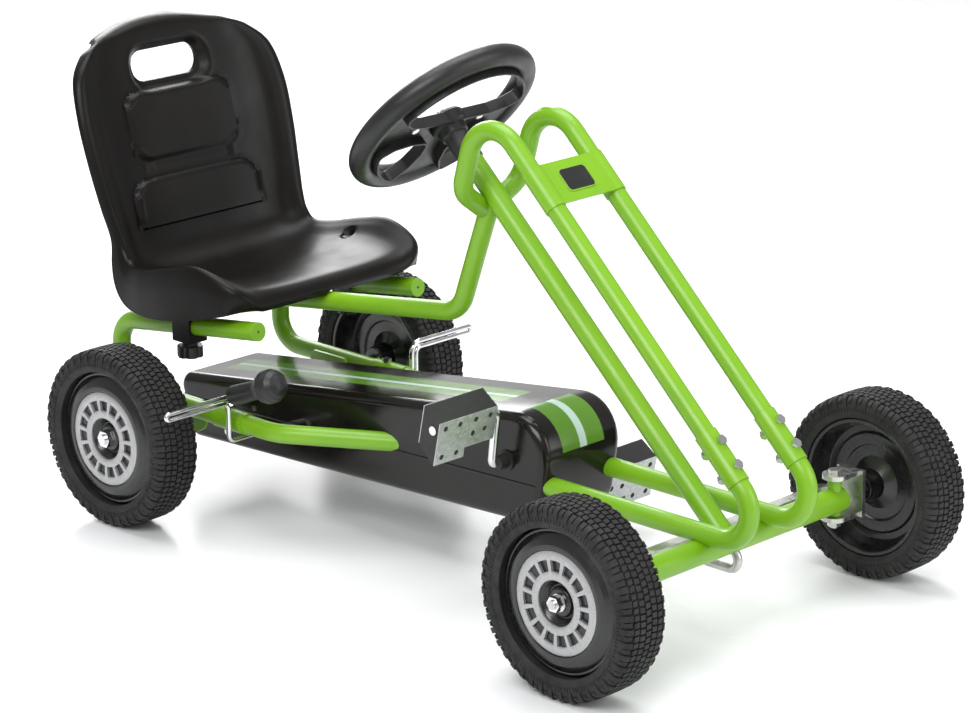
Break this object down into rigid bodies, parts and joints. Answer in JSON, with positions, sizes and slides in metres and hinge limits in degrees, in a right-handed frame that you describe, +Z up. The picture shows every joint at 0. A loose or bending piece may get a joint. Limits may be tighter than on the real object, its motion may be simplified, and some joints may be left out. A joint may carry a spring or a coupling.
{
  "type": "pedal go kart",
  "caption": "Child's pedal go kart: bent tube frame, chain drive in a moulded case, bucket seat on rails, column steering and a hand brake on the rear tyres.",
  "frame": {"origin": "on the ground, midway between the front and rear axles, on the centre line", "axes": "+X forward, +Y to the rider's left, +Z up"},
  "size_m": [1.0333, 0.552, 0.5846],
  "materials": {
    "green_paint": "gloss",
    "zinc": "satin",
    "bright_steel": "polished",
    "galvanised": "spangled",
    "seat_plastic": "fine grain",
    "case_plastic": "gloss",
    "wheel_plastic": "gloss",
    "ring_plastic": "silver paint",
    "tyre": "matt",
    "bush_plastic": "matt",
    "grip_plastic": "satin",
    "pedal_plastic": "grained",
    "cap_plastic": "satin",
    "dark_steel": "oiled"
  },
  "bodies": {
    "chassis": {"front_axle_beam": "green_paint", "frame_tube_right": "green_paint", "frame_tube_left": "green_paint", "upper_tube_right": "green_paint", "upper_tube_left": "green_paint", "steering_column_tube": "green_paint", "column_bushes": "bush_plastic", "seat_support_frame": "green_paint", "seat_rail_right": "green_paint", "seat_rail_left": "green_paint", "rail_end_caps": "cap_plastic", "rear_axle_brackets": "green_paint", "rear_axle_bushes": "bush_plastic", "front_panel": "green_paint", "frame_bolts": "bright_steel", "chain_case_cover": "case_plastic", "chain_case_tray": "case_plastic", "chain_case_screws": "dark_steel", "crank_bushes": "bush_plastic", "chain": "dark_steel"},
    "seat": {"seat": "seat_plastic", "seat_clamps": "seat_plastic", "seat_bolts": "zinc"},
    "seat_knob_right": {"seat_knob_right": "grip_plastic"},
    "seat_knob_left": {"seat_knob_left": "grip_plastic"},
    "steering": {"steering_wheel": "grip_plastic", "steering_wheel_screws": "bright_steel", "steering_boss": "bush_plastic", "steering_shaft": "zinc"},
    "knuckle_right": {"steering_knuckle_right": "zinc", "kingpin_right": "zinc", "front_wheel_nut_right": "bright_steel"},
    "knuckle_left": {"steering_knuckle_left": "zinc", "kingpin_left": "zinc", "front_wheel_nut_left": "bright_steel"},
    "tie_rod": {"tie_rod": "zinc", "tie_rod_pins": "zinc"},
    "wheel_front_right": {"tyre_front_right": "tyre", "wheel_front_right": "wheel_plastic", "wheel_ring_front_right": "ring_plastic"},
    "wheel_front_left": {"tyre_front_left": "tyre", "wheel_front_left": "wheel_plastic", "wheel_ring_front_left": "ring_plastic"},
    "rear_axle": {"rear_axle": "bright_steel", "axle_sprocket": "dark_steel", "rear_axle_nuts": "bright_steel", "tyre_rear_right": "tyre", "wheel_rear_right": "wheel_plastic", "wheel_ring_rear_right": "ring_plastic"},
    "wheel_rear_left": {"tyre_rear_left": "tyre", "wheel_rear_left": "wheel_plastic", "wheel_ring_rear_left": "ring_plastic"},
    "crank": {"pedal_crank": "bright_steel", "crank_sprocket": "dark_steel"},
    "pedal_right": {"pedal_right": "pedal_plastic", "pedal_plates_right": "galvanised"},
    "pedal_left": {"pedal_left": "pedal_plastic", "pedal_plates_left": "galvanised"},
    "brake": {"brake_rod": "bright_steel", "brake_grip": "grip_plastic"}
  },
  "joints": [
    {"name": "steering_turn", "type": "hinge", "parent": "chassis", "child": "steering", "pos_m": [-0.0545, 0, 0.4941], "axis": [-0.7291, 0, 0.6844], "range_deg": [-40, 40]},
    {"name": "knuckle_right_turn", "type": "hinge", "parent": "chassis", "child": "knuckle_right", "pos_m": [0.37, -0.174, 0.105], "axis": [0, 0, 1], "range_deg": [-24.9, 24.9]},
    {"name": "knuckle_left_turn", "type": "hinge", "parent": "chassis", "child": "knuckle_left", "pos_m": [0.37, 0.174, 0.105], "axis": [0, 0, 1], "range_deg": [-24.9, 24.9]},
    {"name": "tie_rod_turn", "type": "hinge", "parent": "knuckle_right", "child": "tie_rod", "pos_m": [0.33, -0.174, 0.0974], "axis": [0, 0, 1], "range_deg": [-24.9, 24.9]},
    {"name": "wheel_front_right_spin", "type": "hinge", "parent": "knuckle_right", "child": "wheel_front_right", "pos_m": [0.37, -0.2453, 0.105], "axis": [0, 1, 0], "continuous": true},
    {"name": "wheel_front_left_spin", "type": "hinge", "parent": "knuckle_left", "child": "wheel_front_left", "pos_m": [0.37, 0.2453, 0.105], "axis": [0, 1, 0], "continuous": true},
    {"name": "crank_spin", "type": "hinge", "parent": "chassis", "child": "crank", "pos_m": [0.1015, 0, 0.1445], "axis": [0, 1, 0], "continuous": true},
    {"name": "rear_axle_spin", "type": "hinge", "parent": "chassis", "child": "rear_axle", "pos_m": [-0.37, 0, 0.105], "axis": [0, 1, 0], "continuous": true},
    {"name": "wheel_rear_left_spin", "type": "hinge", "parent": "rear_axle", "child": "wheel_rear_left", "pos_m": [-0.37, 0.2159, 0.105], "axis": [0, 1, 0], "continuous": true},
    {"name": "pedal_right_spin", "type": "hinge", "parent": "crank", "child": "pedal_right", "pos_m": [0.10998, -0.137, 0.20894], "axis": [0, 1, 0], "continuous": true},
    {"name": "pedal_left_spin", "type": "hinge", "parent": "crank", "child": "pedal_left", "pos_m": [0.09302, 0.137, 0.08006], "axis": [0, 1, 0], "continuous": true},
    {"name": "brake_turn", "type": "hinge", "parent": "chassis", "child": "brake", "pos_m": [-0.256, 0, 0.1062], "axis": [0, -1, 0], "range_deg": [0, 19]},
    {"name": "seat_slide", "type": "slide", "parent": "chassis", "child": "seat", "axis": [0.9912, 0, 0.132], "range_m": [-0.025, 0.025]},
    {"name": "seat_knob_right_turn", "type": "hinge", "parent": "seat", "child": "seat_knob_right", "pos_m": [-0.347, -0.127, 0.19], "axis": [0, 0, 1], "continuous": true},
    {"name": "seat_knob_left_turn", "type": "hinge", "parent": "seat", "child": "seat_knob_left", "pos_m": [-0.347, 0.127, 0.19], "axis": [0, 0, 1], "continuous": true}
  ],
  "couplings": [
    {"joint": "knuckle_right_turn", "follows": "steering_turn", "ratio": 0.597},
    {"joint": "knuckle_left_turn", "follows": "steering_turn", "ratio": 0.597},
    {"joint": "tie_rod_turn", "follows": "steering_turn", "ratio": -0.597},
    {"joint": "rear_axle_spin", "follows": "crank_spin", "ratio": 2}
  ]
}
